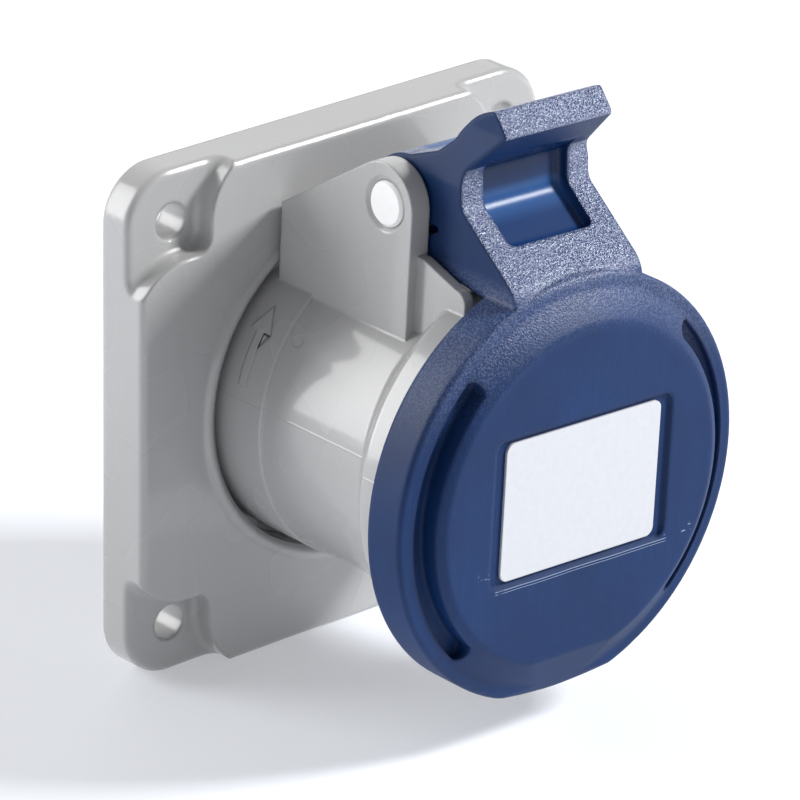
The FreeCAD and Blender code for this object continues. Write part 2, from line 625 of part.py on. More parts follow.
def make_housing():
    body = new_body("front_housing")
    outside = new_sketch(body, "outside", YZ, [[
        ("spigot_back", "0"),
        ("spigot_back", "spigot_radius"),
        ("-collar_back", "spigot_radius"),
        ("-collar_back", "collar_radius"),
        ("-collar_front + collar_round", "collar_radius", ("collar_round", 1)),
        ("-collar_front", "collar_radius - collar_round"),
        ("-collar_front", "barrel_radius"),
        ("-flare_start + flare_cut", "barrel_radius", ("flare_round", -1)),
        ("-flare_start - flare_cut * flare_cos", "barrel_radius + flare_cut * flare_sin"),
        ("-flare_end + flare_cut * flare_cos", "rim_radius - flare_cut * flare_sin",
         ("flare_round", 1)),
        ("-flare_end - flare_cut", "rim_radius"),
        ("-rim_front + rim_round", "rim_radius", ("rim_round", 1)),
        ("-rim_front", "rim_radius - rim_round"),
        ("-rim_front", "0"),
    ]])
    turn(body, "outside", outside)

    side = "key_half + key_wall"
    under = "cavity_radius + key_depth + key_wall"
    keyway = new_sketch(body, "key_wall", XZ, [[
        (f"-({side})", "-core_bore"),
        (f"-({side})", f"-({under}) + key_wall", ("key_wall", 1)),
        (f"-({side}) + key_wall", f"-({under})"),
        (f"{side} - key_wall", f"-({under})", ("key_wall", 1)),
        (side, f"-({under}) + key_wall"),
        (side, "-core_bore"),
    ]], lift="collar_front")
    pad(body, "key_wall", keyway, "flare_end - collar_front")

    ear = new_sketch(body, "ear", YZ, [[
        ("-ear_back", "core_bore - 2"),
        ("-ear_back", "ear_back_top"),
        ("touch_y", "touch_up", ("ear_round", 1)),
        ("-ear_front", "ear_nose"),
        ("-ear_front", "core_bore - 2"),
    ]], lift="-ear_inner")
    left = pad(body, "ear", ear, "ear_thick", reverse=True)
    cheek = new_sketch(body, "cheek", YZ, [[
        ("-ear_front + 1", "core_bore - 2"),
        ("-ear_front + 1", "cheek_top"),
        ("-ear_front - cheek_round / 2", "cheek_top"),
        ("-cheek_front + cheek_round", "cheek_front_top", ("cheek_round", 1)),
        ("-cheek_front", "cheek_front_top - cheek_round"),
        ("-cheek_front", "core_bore - 2"),
    ]], lift="-ear_inner - cheek_gap")
    front = pad(body, "cheek", cheek, "cheek_thick", reverse=True)
    mirrored(body, "ears", [left, front])

    inside = new_sketch(body, "inside", YZ, [[
        ("spigot_back + 1", "0"),
        ("spigot_back + 1", "core_bore"),
        ("-cavity_floor", "core_bore"),
        ("-cavity_floor", "cavity_radius"),
        ("-throat_back", "cavity_radius"),
        ("-throat_front", "rim_radius - rim_wall"),
        ("-rim_front - 1", "rim_radius - rim_wall"),
        ("-rim_front - 1", "0"),
    ]])
    turn(body, "inside", inside, cut=True)

    key_floor = "cavity_radius + key_depth"
    key = new_sketch(body, "key", XZ, [[
        ("-key_half", "-core_bore - 1"),
        ("-key_half", f"-({key_floor})"),
        ("key_half", f"-({key_floor})"),
        ("key_half", "-core_bore - 1"),
    ]], lift="rim_front + 1")
    pocket(body, "key", key, "rim_front + 1 - collar_front - key_wall")

    seat = new_sketch(body, "pin_seat", YZ,
                      circles=[("-hinge_forward", "hinge_height", "pin_radius")])
    pocket(body, "pin_seat", seat, "2 * (ear_inner + ear_thick) + 2", both=True)
    outer = number("ear_inner + ear_thick")
    edged(body, "pin_mouth", "Chamfer", "pin_mouth",
          lambda e: e.Closed and (flat_at(e, "X", outer) or flat_at(e, "X", -outer)))

    lug = new_sketch(body, "lug", XZ, [sector("lug_half", "lip_bore - 2", "lug_radius")],
                     lift="-lug_play - lug_height")
    block = pad(body, "lug", lug, "lug_height")
    around(body, "lugs", block, lug, "lug_count")

    holes = new_sketch(body, "foot_screws", XZ, circles=[
        ("foot_screw_place", "0", "plate_screw"),
        ("-foot_screw_place", "0", "plate_screw")], lift="cavity_floor")
    pocket(body, "foot_screws", holes, "foot_screw_long + 0.5")
    return body


# Contact carrier and what it holds. A contact is drawn with its place straight up from the axis.

CONTACTS = [("live", "phase_pin", 60), ("neutral", "phase_pin", -60), ("earth", "earth_pin", 180)]


def sleeve(pin):
    return f"({pin} + pin_fit + sleeve_wall)"


def chamber(pin):
    return f"({sleeve(pin)} + ring_gap + ring_wall + chamber_gap)"


def contact_places():
    """Across and up of each contact on the carrier, with the radius of its plug pin."""
    side, up = "pitch_radius * sqrt(3) / 2", "pitch_radius / 2"
    return [(side, up, "phase_pin"), (f"-{side}", up, "phase_pin"), ("0", "-pitch_radius", "earth_pin")]


def make_carrier():
    """Moulded cup of the insulator, with an entry for each plug pin and three screw posts."""
    body = new_body("contact_carrier")
    outside = new_sketch(body, "outside", YZ, [[
        ("-cavity_floor", "core_radius - core_wall"),
        ("-cavity_floor", "cavity_radius - foot_gap"),
        ("-core_foot", "cavity_radius - foot_gap"),
        ("-core_foot", "core_radius"),
        ("-core_front", "core_radius"),
        ("-core_front", "0"),
        ("-chamber_front", "0"),
        ("-chamber_front", "core_radius - core_wall"),
    ]])
    turn(body, "outside", outside)
    edged(body, "front_edge", "Chamfer", "core_edge",
          lambda e: flat_at(e, "Y", -number("core_front")))

    entries = new_sketch(body, "entries", XZ,
                         circles=[(across, up, f"{pin} + entry_gap")
                                  for across, up, pin in contact_places()], lift="core_front")
    pocket(body, "entries", entries, "front_skin + overrun")

    post = new_sketch(body, "post", XZ, circles=[("0", "plate_screw_place", "post_radius")],
                      lift="cavity_floor")
    raised = pad(body, "post", post, "post_long")
    around(body, "posts", raised, post, "3")
    pilot = new_sketch(body, "pilot", XZ, circles=[("0", "plate_screw_place", "plate_screw")],
                       lift="cavity_floor")
    drilled = pocket(body, "pilot", pilot, "plate_screw_long + pilot_extra", reverse=True)
    around(body, "pilots", drilled, pilot, "3")

    feet = new_sketch(body, "foot_screws", XZ, circles=[
        ("foot_screw_place", "0", "plate_screw + screw_gap"),
        ("-foot_screw_place", "0", "plate_screw + screw_gap")], lift="core_foot")
    pocket(body, "foot_screws", feet, "core_foot - cavity_floor + overrun")
    return body


def make_tube(name, pin, spin):
    """Insulating tube round one contact, with a window for the screwdriver."""
    body = new_body(f"{name}_tube", f"front_turn + {spin}")
    ring = new_sketch(body, "ring", XZ, circles=[
        ("0", "pitch_radius", chamber(pin)), ("0", "pitch_radius", f"{chamber(pin)} + tube_wall")],
        lift="chamber_front - tube_gap")
    pad(body, "ring", ring, "chamber_front + core_back - 2 * tube_gap", reverse=True)
    window = new_sketch(body, "window", XY, circles=[("0", "clamp_place", "clamp_access")],
                        lift="pitch_radius")
    pocket(body, "window", window, "core_bore - pitch_radius", reverse=True)
    return body


def make_retainer():
    """Rear plate of the insulator: it holds the tubes and contacts and gives way to the wires."""
    body = new_body("contact_retainer")
    disc = new_sketch(body, "disc", XZ, circles=[
        ("0", "0", "core_bore - core_play"),
        *((across, up, "plate_hole") for across, up, pin in contact_places())],
        lift="-core_back")
    pad(body, "disc", disc, "plate_thick", reverse=True)
    screw = new_sketch(body, "screw", XZ,
                       circles=[("0", "plate_screw_place", "plate_screw + screw_gap")],
                       lift="-core_back - plate_thick")
    hole = pocket(body, "screw", screw, "plate_thick + overrun", reverse=True)
    around(body, "screws", hole, screw, "3")
    return body


def make_contact(name, pin, spin):
    """Sleeve for the plug's pin in front and a screw terminal behind, turned from one rod."""
    body = new_body(f"{name}_contact", f"front_turn + {spin}")
    rod = new_sketch(body, "rod", YZ, [[
        ("contact_back", "0"),
        ("contact_back", f"{chamber(pin)} - seat_gap"),
        ("-seat_front", f"{chamber(pin)} - seat_gap"),
        ("-seat_front", sleeve(pin)),
        ("-chamber_front + seat_gap", sleeve(pin)),
        ("-chamber_front + seat_gap", "0"),
    ]], shift="pitch_radius")
    turn(body, "rod", rod)
    bore = new_sketch(body, "bore", XZ, circles=[("0", "pitch_radius", f"{pin} + pin_fit")],
                      lift="chamber_front")
    pocket(body, "bore", bore, "chamber_front - sleeve_floor")
    wire = new_sketch(body, "wire", XZ, circles=[("0", "pitch_radius", "wire_radius")],
                      lift="-contact_back")
    pocket(body, "wire", wire, "wire_depth", reverse=True)
    clamp = new_sketch(body, "clamp", XY, circles=[("0", "clamp_place", "clamp_radius")],
                       lift="pitch_radius")
    pocket(body, "clamp", clamp, f"{chamber(pin)} + 1", reverse=True)
    slit = new_sketch(body, "slit", XZ,
                      [rounded_slot("slot_width / 2", chamber(pin), "pitch_radius")],
                      lift="chamber_front")
    pocket(body, "slit", slit, "(chamber_front - sleeve_floor) * 2 / 3")
    return body


def rounded_slot(half_wide, half_high, up):
    """Corners of a plain rectangle with its middle at (0, up)."""
    return [
        (f"-({half_wide})", f"{up} - {half_high}"),
        (f"{half_wide}", f"{up} - {half_high}"),
        (f"{half_wide}", f"{up} + {half_high}"),
        (f"-({half_wide})", f"{up} + {half_high}"),
    ]


def make_spring_ring(name, pin, spin):
    """Slit steel ring that keeps a sleeve tight on its pin."""
    body = new_body(f"{name}_spring_ring", f"front_turn + {spin}")
    inner = f"{sleeve(pin)} + ring_gap"
    ring = new_sketch(body, "ring", XZ, circles=[
        ("0", "pitch_radius", inner), ("0", "pitch_radius", f"{inner} + ring_wall")],
        lift="ring_place - ring_width / 2")
    pad(body, "ring", ring, "ring_width")
    gap = new_sketch(body, "gap", XZ,
                     [rounded_slot("slot_width / 2", "1.5", f"pitch_radius + {inner} + 0.5")],
                     lift="ring_place - ring_width")
    pocket(body, "gap", gap, "2 * ring_width", reverse=True)
    return body


def make_terminal_screw(name, pin, spin):
    """Slotted screw that presses the wire into the contact, pointing to the axis."""
    body = new_body(f"{name}_terminal_screw", f"front_turn + {spin}")
    under_head = f"pitch_radius + {chamber(pin)} - seat_gap + clamp_lift"
    shank = new_sketch(body, "shank", XY, circles=[("0", "clamp_place", "clamp_radius")],
                       lift="pitch_radius + wire_radius / 3")
    pad(body, "shank", shank, f"{chamber(pin)} - seat_gap + clamp_lift - wire_radius / 3 + 0.5")
    head = new_sketch(body, "head", XY, circles=[("0", "clamp_place", "clamp_head")],
                      lift=under_head)
    pad(body, "head", head, "clamp_head_high")
    slot = new_sketch(body, "slot", XY, [rounded_slot("clamp_head", "slot_width / 2", "clamp_place")],
                      lift=f"{under_head} + clamp_head_high")
    pocket(body, "slot", slot, "clamp_head_high / 2")
    return body


def make_small_screw(name, across, up, under_head, long, forward):
    """Slotted pan head screw along Y; forward is True where its head faces the front."""
    body = new_body(name)
    place = (across, up)
    shank = new_sketch(body, "shank", XZ, circles=[(*place, "plate_screw")], lift=under_head)
    pad(body, "shank", shank, long, reverse=forward)
    head = new_sketch(body, "head", XZ, circles=[(*place, "screw_head")], lift=under_head)
    pad(body, "head", head, "screw_head_high", reverse=not forward)
    top = f"{under_head} + screw_head_high" if forward else f"{under_head} - screw_head_high"
    slot = new_sketch(body, "slot", XZ, [[
        (f"{across} - screw_head", f"{up} - slot_width / 2"),
        (f"{across} + screw_head", f"{up} - slot_width / 2"),
        (f"{across} + screw_head", f"{up} + slot_width / 2"),
        (f"{across} - screw_head", f"{up} + slot_width / 2"),
    ]], lift=top)
    pocket(body, "slot", slot, "screw_head_high / 2", reverse=not forward)
    return body


def gather(name, bodies):
    """Like pieces share one node."""
    group = doc.addObject("Part::Compound", name)
    group.Label = name
    group.Links = bodies
    doc.recompute()
    return group


# Lid and its hinge

def make_hinge_pin():
    body = new_body("hinge_pin")
    ends = "ear_inner + ear_thick"
    circle = new_sketch(body, "circle", YZ,
                        circles=[("-hinge_forward", "hinge_height", "pin_radius")])
    pad(body, "pin", circle, f"2 * ({ends})", both=True)
    outer = number(ends)
    edged(body, "ends", "Chamfer", "pin_mouth / 2",
          lambda e: flat_at(e, "X", outer) or flat_at(e, "X", -outer))
    return body


def make_spring():
    """Torsion spring on the pin: one leg stands on the barrel, the other presses the lid shut."""
    body = new_body("lid_spring")
    axis_y, axis_up = "-hinge_forward", "hinge_height"
    start = new_sketch(body, "wire", XY,
                       circles=[("-spring_half", f"{axis_y} + spring_radius", "spring_wire")],
                       lift=axis_up)
    line = start.addGeometry(Part.LineSegment(
        FreeCAD.Vector(0, number(axis_y), 0), FreeCAD.Vector(1, number(axis_y), 0)), True)
    pin_point(start, line, 1, "0", axis_y)
    pin_point(start, line, 2, "spring_wire", axis_y)
    coil = body.newObject("PartDesign::AdditiveHelix", "lid_spring_coil")
    coil.Profile = start
    coil.ReferenceAxis = (start, ["Axis0"])
    coil.Mode = 1
    bind(coil, "Pitch", "spring_pitch")
    bind(coil, "Turns", "spring_turns")
    coil.Angle = 0.0
    settle(coil, True)
    down = new_sketch(body, "leg_down", XY,
                      circles=[("-spring_half", f"{axis_y} + spring_radius", "spring_wire")],
                      lift=f"{axis_up} - spring_leg_down")
    pad(body, "leg_down", down, "spring_leg_down")
    ahead = new_sketch(body, "leg_front", XZ,
                       circles=[("-spring_half + spring_pitch * spring_turns",
                                 f"{axis_up} + spring_radius", "spring_wire")],
                       lift="hinge_forward")
    pad(body, "leg_front", ahead, "spring_leg_front")
    return body


def make_lid():
    body = new_body("lid")
    disc = new_sketch(body, "disc", YZ, [[
        ("-lid_back", "0"),
        ("-lid_back", "lid_radius"),
        ("-lid_rim + lid_edge", "lid_radius", ("lid_edge", 1)),
        ("-lid_rim", "lid_radius - lid_edge"),
        ("-lid_rim", "rim_inner"),
        ("-lid_face", "face_radius"),
        ("-lid_face", "0"),
    ]], shift="-lid_drop")
    turn(body, "disc", disc)
    steps = [-number("lid_face"), -number("lid_rim")]
    edged(body, "face_round", "Fillet", "face_round",
          lambda e: e.Closed and any(flat_at(e, "Y", step) for step in steps)
          and e.BoundBox.XMax < number("rim_inner + 0.5"))

    chin = new_sketch(body, "chin", XZ, [[
        ("-chin_half", "-chin_side", ("chin_round", 1)),
        ("0", "-chin_height", ("chin_round", 1)),
        ("chin_half", "-chin_side"),
        ("chin_half", "-lid_radius - lid_drop - overrun"),
        ("-chin_half", "-lid_radius - lid_drop - overrun"),
    ]], lift="lid_face + overrun")
    pocket(body, "chin", chin, "lid_face - lid_back + 2 * overrun")

    neck = new_sketch(body, "neck", YZ, [[
        ("-lid_back - lid_wall", "neck_low"),
        ("-lid_back - neck_sink", "neck_low"),
        ("-lid_back", "arm_foot_up"),
        ("-arm_under_y", "arm_under_up"),
        ("-hinge_forward", "hinge_height - knuckle_radius", ("knuckle_radius", 1)),
        ("-hinge_forward + knuckle_radius", "hinge_height", ("knuckle_radius", 1)),
        ("-hinge_forward", "hinge_height + knuckle_radius"),
        ("-nape_y", "nape_up"),
        ("-lip_back_y", "lip_back_up", ("lip_back_round", 1)),
        ("-lip_top_y", "lip_top_up"),
        ("-lip_low_y", "lip_low_up"),
        ("-throat_y", "throat_up"),
        ("-neck_top_y", "neck_top_up"),
        ("-lid_rim + neck_sink + foot_reach * slope_run / slope_long",
         "neck_foot_up + foot_reach * slope_rise / slope_long", ("foot_round", 1)),
        ("-lid_rim + neck_sink", "neck_foot_up - foot_reach"),
        ("-lid_rim + neck_sink", "neck_low"),
    ]])
    pad(body, "neck", neck, "2 * neck_half", both=True)
    hollows = places(("-throat_y", "throat_up"), ("-neck_top_y", "neck_top_up"))
    edged(body, "throat_round", "Fillet", "throat_round", lambda e: crosswise(e, hollows))
    corners = places(("-lip_low_y", "lip_low_up"), ("-lip_top_y", "lip_top_up"))
    edged(body, "lip_round", "Fillet", "lip_edge", lambda e: crosswise(e, corners))
    bends = places(("-nape_y", "nape_up"), ("-lip_back_y", "lip_back_up"),
                   ("-hinge_forward", "hinge_height + knuckle_radius"))
    edged(body, "nape_round", "Fillet", "nape_round", lambda e: crosswise(e, bends))

    def on_slope(part, depth):
        """A point at a part of the slope's length and a depth under it."""
        return (f"-lid_rim + neck_sink + {part} * slope_run + ({depth}) * inward_y",
                f"neck_foot_up + {part} * slope_rise + ({depth}) * inward_up")

    deep = "neck_wall + scoop_depth"
    hollow = new_sketch(body, "hollow", YZ, [[
        (on_slope("hollow_foot_ratio", "neck_wall")[0], "neck_low - overrun"),
        on_slope("hollow_foot_ratio", "neck_wall"),
        on_slope("hollow_step_ratio", "neck_wall"),
        on_slope("hollow_deep_ratio", deep),
        on_slope(1, deep),
        ("-throat_y + neck_wall + scoop_depth / 2", "hinge_height + knuckle_inner"),
        ("-hinge_forward", "hinge_height + knuckle_inner", ("knuckle_inner", -1)),
        ("-hinge_forward + knuckle_inner", "hinge_height"),
        ("-hinge_forward + knuckle_radius + overrun", "hinge_height"),
        ("-hinge_forward + knuckle_radius + overrun", "neck_low - overrun"),
    ]])
    pocket(body, "hollow", hollow, "2 * (neck_half - arm_thick)", both=True)

    cup = new_sketch(body, "cup", YZ, [[
        ("-lid_back + cup_step", "0"),
        ("-lid_back + cup_step", "cup_radius"),
        ("-seat_depth", "cup_radius"),
        ("-seat_depth", "seat_inner"),
        ("-lid_face + lid_wall", "seat_inner - 1"),
        ("-lid_face + lid_wall", "0"),
    ]])
    turn(body, "cup", cup, cut=True)

    def beside(side):
        """The part beside the tapered lip, on one side."""
        return [
            (f"{side} * neck_half", "lip_taper_up"),
            (f"{side} * lip_half", "lip_low_up"),
            (f"{side} * lip_half", "lip_top_up + overrun"),
            (f"{side} * (neck_half + overrun)", "lip_top_up + overrun"),
            (f"{side} * (neck_half + overrun)", "lip_taper_up"),
        ]

    taper = new_sketch(body, "taper", XZ, [beside(1), beside(-1)], lift="lid_face")
    pocket(body, "taper", taper, "lid_face - hinge_forward + knuckle_radius + overrun")

    scoop = new_sketch(body, "scoop", YZ, [[
        on_slope("scoop_foot_ratio", "0"),
        on_slope("scoop_foot_ratio", "scoop_depth"),
        on_slope("scoop_bend_ratio", "scoop_depth"),
        ("-throat_y + scoop_depth", "throat_up - scoop_depth / 2"),
        ("-throat_y - scoop_depth", "throat_up + scoop_depth"),
        ("-lip_low_y", "throat_up + scoop_depth"),
        on_slope("scoop_mouth_ratio", "-2 * scoop_depth"),
    ]])
    pocket(body, "scoop", scoop, "2 * scoop_half", both=True)
    inside = places(on_slope("scoop_bend_ratio", "scoop_depth"))
    edged(body, "scoop_bend", "Fillet", "scoop_round", lambda e: crosswise(e, inside))

    foot = places(on_slope("scoop_foot_ratio", "scoop_depth"))
    half, bottom = number("scoop_half"), number("scoop_depth / 2")
    top_y, top_up, lean = number("neck_top_y"), number("neck_top_up"), number("slope_run / slope_rise")

    def scoop_corner(edge):
        """True for the scoop's inner edges: along its sides, and across at its foot."""
        middle = halfway(edge)
        front = -top_y - lean * max(0, top_up - middle.z)
        beside_floor = abs(abs(middle.x) - half) < 1e-3 and edge.BoundBox.XLength < 1e-3
        return crosswise(edge, foot) or (beside_floor and bottom < middle.y - front < 3 * bottom)

    edged(body, "scoop_soft", "Fillet", "scoop_soft", scoop_corner)

    bore = new_sketch(body, "pin_bore", YZ,
                      circles=[("-hinge_forward", "hinge_height", "pin_radius + pin_play")])
    pocket(body, "pin_bore", bore, "2 * (neck_half + overrun)", both=True)

    def arc_slot(side):
        """Curved slot in the outer face of one arm."""
        def at(radius, angle):
            return (f"-slot_y + {radius} * cos({angle})", f"slot_up + {radius} * sin({angle})")
        loop = [
            (*at("slot_inner", "slot_from"),),
            (*at("slot_outer", "slot_from"), ("slot_outer", 1)),
            (*at("slot_outer", "slot_to"),),
            (*at("slot_inner", "slot_to"), ("slot_inner", -1)),
        ]
        return new_sketch(body, f"arm_slot_{side}", YZ, [loop],
                          lift="neck_half" if side == "right" else "-neck_half")

    pocket(body, "arm_slot_right", arc_slot("right"), "slot_depth")
    pocket(body, "arm_slot_left", arc_slot("left"), "slot_depth", reverse=True)

    def crescent(side):
        """Outline of the groove on one side of the face."""
        def at(radius, turned):
            return (f"{side} * {radius} * cos(crescent_angle)",
                    f"{turned} * {radius} * sin(crescent_angle)")
        return [
            (*at("crescent_outer", -1), ("crescent_outer", side)),
            (*at("crescent_outer", 1), ("crescent_end", side)),
            (*at("crescent_inner", 1), ("crescent_inner", -side)),
            (*at("crescent_inner", -1), ("crescent_end", side)),
        ]

    grooves = new_sketch(body, "crescents", XZ, [crescent(1), crescent(-1)],
                         lift="lid_face", shift="-lid_drop")
    pocket(body, "crescents", grooves, "lid_face - crescent_floor")

    steep = "(chin_height + bevel_past - bevel_top) / (chin_height - bevel_top)"
    wedge = new_sketch(body, "bevel", YZ, [[
        ("-lid_face", "-bevel_top"),
        ("-lid_face - overrun", "-bevel_top"),
        ("-lid_face - overrun", "-chin_height - bevel_past"),
        (f"-lid_face + (lid_face - bevel_depth) * {steep}", "-chin_height - bevel_past"),
    ]])
    pocket(body, "bevel", wedge, "2 * bevel_half", both=True)

    recess = new_sketch(
        body, "recess", XZ,
        [rounded_box("recess_wide / 2", "recess_high / 2", "recess_round", "-label_low")],
        lift="lid_face")
    pocket(body, "recess", recess, "recess_depth")
    return body


def make_label():
    body = new_body("lid_label")
    outline = new_sketch(
        body, "outline", XZ,
        [rounded_box("label_wide / 2", "label_high / 2", "label_round", "-label_low")],
        lift="lid_face - recess_depth")
    pad(body, "outline", outline, "label_thick")
    return body


# The assembly, in one document and one frame

pieces = [
    make_flange(),
    make_ring("flange_gasket", "gasket_inner", "gasket_inner + gasket_width", "0",
              "gasket_depth", spin="0"),
    make_housing(),
    make_ring("housing_seal", "lip_bore + 0.5", "collar_radius - 0.3",
              "collar_back - seal_height", "seal_height"),
    make_carrier(),
    gather("insulating_tubes", [make_tube(*one) for one in CONTACTS]),
    make_retainer(),
]
for contact, plug_pin, angle in CONTACTS:
    pieces.append(make_contact(contact, plug_pin, angle))
    pieces.append(make_spring_ring(contact, plug_pin, angle))
pieces.append(gather("terminal_screws", [make_terminal_screw(*one) for one in CONTACTS]))
pieces.append(gather("carrier_screws", [
    make_small_screw("carrier_screw_right", "foot_screw_place", "0", "core_foot",
                     "core_foot - cavity_floor + foot_screw_long", True),
    make_small_screw("carrier_screw_left", "-foot_screw_place", "0", "core_foot",
                     "core_foot - cavity_floor + foot_screw_long", True),
]))
side, low = "plate_screw_place * sqrt(3) / 2", "-plate_screw_place / 2"
held = "plate_thick + core_back + cavity_floor + plate_screw_long"
pieces.append(gather("retainer_screws", [
    make_small_screw("retainer_screw_top", "0", "plate_screw_place",
                     "-core_back - plate_thick", held, False),
    make_small_screw("retainer_screw_right", side, low,
                     "-core_back - plate_thick", held, False),
    make_small_screw("retainer_screw_left", f"-{side}", low,
                     "-core_back - plate_thick", held, False),
]))
pieces.append(make_hinge_pin())
pieces.append(make_spring())
pieces.append(make_lid())
pieces.append(make_ring("lid_gasket", "lid_seal_inner", "cup_radius - lid_seal_side",
                        "rim_front + lid_seal_gap", "seat_depth - rim_front - lid_seal_gap"))
pieces.append(make_label())

# Checks, then one STEP file for each piece
doc.recompute()
for item in doc.Objects:
    if "Invalid" in item.State or "Error" in item.State:
        raise RuntimeError(f"{item.Name}: {item.State}")
    if hasattr(item, "Shape") and hasattr(item, "Tip") and item.Shape.isNull():
        raise RuntimeError(f"{item.Name} is empty")

os.makedirs("parts", exist_ok=True)
for piece in pieces:
    if piece.Shape.isNull() or not piece.Shape.isValid():
        raise RuntimeError(f"{piece.Label} is not a valid shape")
    piece.Shape.exportStep(f"parts/{piece.Label}.step")
    box = piece.Shape.BoundBox
    print(f"{piece.Label}: {len(piece.Shape.Solids)} solid(s), {piece.Shape.Volume:.1f} mm3, "
          f"x {box.XMin:.2f} {box.XMax:.2f} y {box.YMin:.2f} {box.YMax:.2f} "
          f"z {box.ZMin:.2f} {box.ZMax:.2f}")
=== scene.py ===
import math

import bmesh
import bpy
from mathutils import Matrix, Vector


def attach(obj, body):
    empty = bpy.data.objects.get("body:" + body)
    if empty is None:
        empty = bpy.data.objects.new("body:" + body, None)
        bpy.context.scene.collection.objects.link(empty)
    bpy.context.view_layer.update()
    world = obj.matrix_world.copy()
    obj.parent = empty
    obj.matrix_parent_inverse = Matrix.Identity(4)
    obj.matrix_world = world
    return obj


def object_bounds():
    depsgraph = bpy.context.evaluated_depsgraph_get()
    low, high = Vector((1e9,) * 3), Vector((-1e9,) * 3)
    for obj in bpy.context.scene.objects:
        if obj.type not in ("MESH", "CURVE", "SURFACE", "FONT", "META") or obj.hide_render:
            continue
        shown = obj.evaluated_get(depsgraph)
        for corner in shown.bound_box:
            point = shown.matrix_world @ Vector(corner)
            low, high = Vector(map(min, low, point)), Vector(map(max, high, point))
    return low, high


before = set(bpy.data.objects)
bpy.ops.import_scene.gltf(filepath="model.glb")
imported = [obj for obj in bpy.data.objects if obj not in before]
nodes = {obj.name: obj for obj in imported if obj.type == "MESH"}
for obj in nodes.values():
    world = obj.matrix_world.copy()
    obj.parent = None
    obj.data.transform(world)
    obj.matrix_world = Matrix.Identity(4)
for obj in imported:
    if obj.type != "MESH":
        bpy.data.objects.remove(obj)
cad_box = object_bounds()
scene = bpy.context.scene

MM = 0.001
TURN = math.radians(2.23)          # the front half's turn about Y at rest

# Where no other meaning is given, a pair is where a change starts and where it is complete.

# Marks on the grey mouldings, in millimetres of the upright front half
EJECTOR_MARK = (-19.8, -18.7, 13.6)
MARK_RIM = (1.25, 1.05)            # distance from the mark's middle
PARTING_UP = 3.3                   # height of the parting line
PARTING_WIDTH = (0.22, 0.0)        # distance from the parting line
PARTING_ACROSS = (-21.0, -21.5)    # how far to the left the parting line sets in

# Finish of the lid, in the same millimetres
SLOPE_FOOT = (-52.9, 28.6)         # Y and Z of the foot of the neck's slope
SLOPE_INWARD = (0.613, -0.790)     # Y and Z of the direction into the slope
RELIEF_UP = (27.5, 30.5)           # height where the neck's coarse relief sets in
SCOOP_SIDE = (8.3, 7.0)            # distance from the middle where the scoop starts
SCOOP_DEPTH = (-0.1, 1.0)          # depth under the slope where the scoop's floor starts
SCOOP_TOP = (44.0, 43.0)           # upper end of the scoop's floor
SCOOP_SHADE_LOW = (36.2, 34.2)           # lower end of the scoop, darkened as painted shade
WALL_LOW = (36.2, 37.4)            # lower end of the scoop's back wall
WALL_TOP = (50.0, 48.0)            # upper end of the back wall
WALL_FRONT = (-43.5, -42.5)        # front end of the back wall
THROAT_UP = (39.0, 40.0)           # height where the throat under the lip starts
RING_AWAY = (21.5, 27.0)           # distance from the axis where the ring's relief sets in
RING_UP = (8.0, 26.0)              # height where the ring's relief sets in

# Parts of a unit normal in the upright front half
FLANK_TURN = (0.6, 0.8)            # sideways enough for a smooth flank
UNDERSIDE = (0.1, -0.1)            # from facing up to facing down
FRONT_SIDE = (0.1, -0.1)           # from facing back to facing the front
NOT_AHEAD = (-0.93, -0.8)          # from facing straight ahead to turned away

# Agreement of the rounded and the plain normal, from a flat face to an edge with a painted highlight
EDGE_HIGHLIGHT_RANGE = (0.985, 0.86)

# Scratches by the label's recess, in the same millimetres
LABEL_FRONT = (-55.4, -55.6)       # only what lies in front of this is scratched
SCRATCHES = ((-11.65, 0.09), (-12.05, 0.06))   # height and half width of each
SCRATCH_ENDS = ((-15.2, -14.8), (16.8, 16.2))
SCRATCH_DRIFT = 0.2                # how far a scratch wanders
SPECK_FIELDS = (                   # left, right, lower and upper end of each
    ((-18.4, -18.0), (-16.0, -16.3), (-9.6, -9.2), (-7.6, -7.9)),
    ((16.0, 16.5), (21.6, 21.0), (-12.4, -12.0), (-10.4, -10.8)),
)

# Raised arrow, in the same millimetres; its outline is an angle in degrees and a distance along Y
ARROW_MIDDLE = -12.1
ARROW_RADII = (23.65, 23.97)       # inner and outer face
ARROW_OUTLINE = [(167, -0.75), (148, -0.75), (148, -2.1), (138.5, 0), (148, 2.1), (148, 0.75), (167, 0.75)]
ARROW_STEP = 1.5                   # most degrees between two points of a curved side

# Studio, in metres: place, aim, size and power of each light
LIGHTS = {
    "back_wall": ((0.0, 1.3, 0.55), (0, 0, 0.1), (3.0, 1.5), 8.0),
    "key_right": ((0.84, -0.73, 0.85), (0, -0.03, 0), (0.3, 0.3), 22.0),
    "left_back": ((-0.64, 0.74, 0.33), (0, -0.03, 0), (0.5, 0.9), 8.0),
}
SKY_COLOR = (0.98, 0.985, 1.0, 1.0)
SKY_STRENGTH = 0.28
FLOOR_SIZE = 6.0
FLOOR_GAP = 0.0002                 # the floor's distance under the object
CAMERA_EYE = (-0.51631, -0.59182, 0.34217)
CAMERA_AIM = (-0.002575, -0.021645, 0.001704)
CAMERA_NEAR = 0.05

# Camera angle, and its lens and sensor in millimetres
CAMERA_ROLL = math.radians(1.18)
CAMERA_LENS = 274.67
CAMERA_SENSOR = 36.0


def to_row(x, y, z):
    """A point of the upright front half, in millimetres, as a point of the row frame."""
    cosine = math.cos(TURN)
    sine = math.sin(TURN)
    return Vector(((x * cosine + z * sine) * MM, y * MM, (z * cosine - x * sine) * MM))


# Material helpers

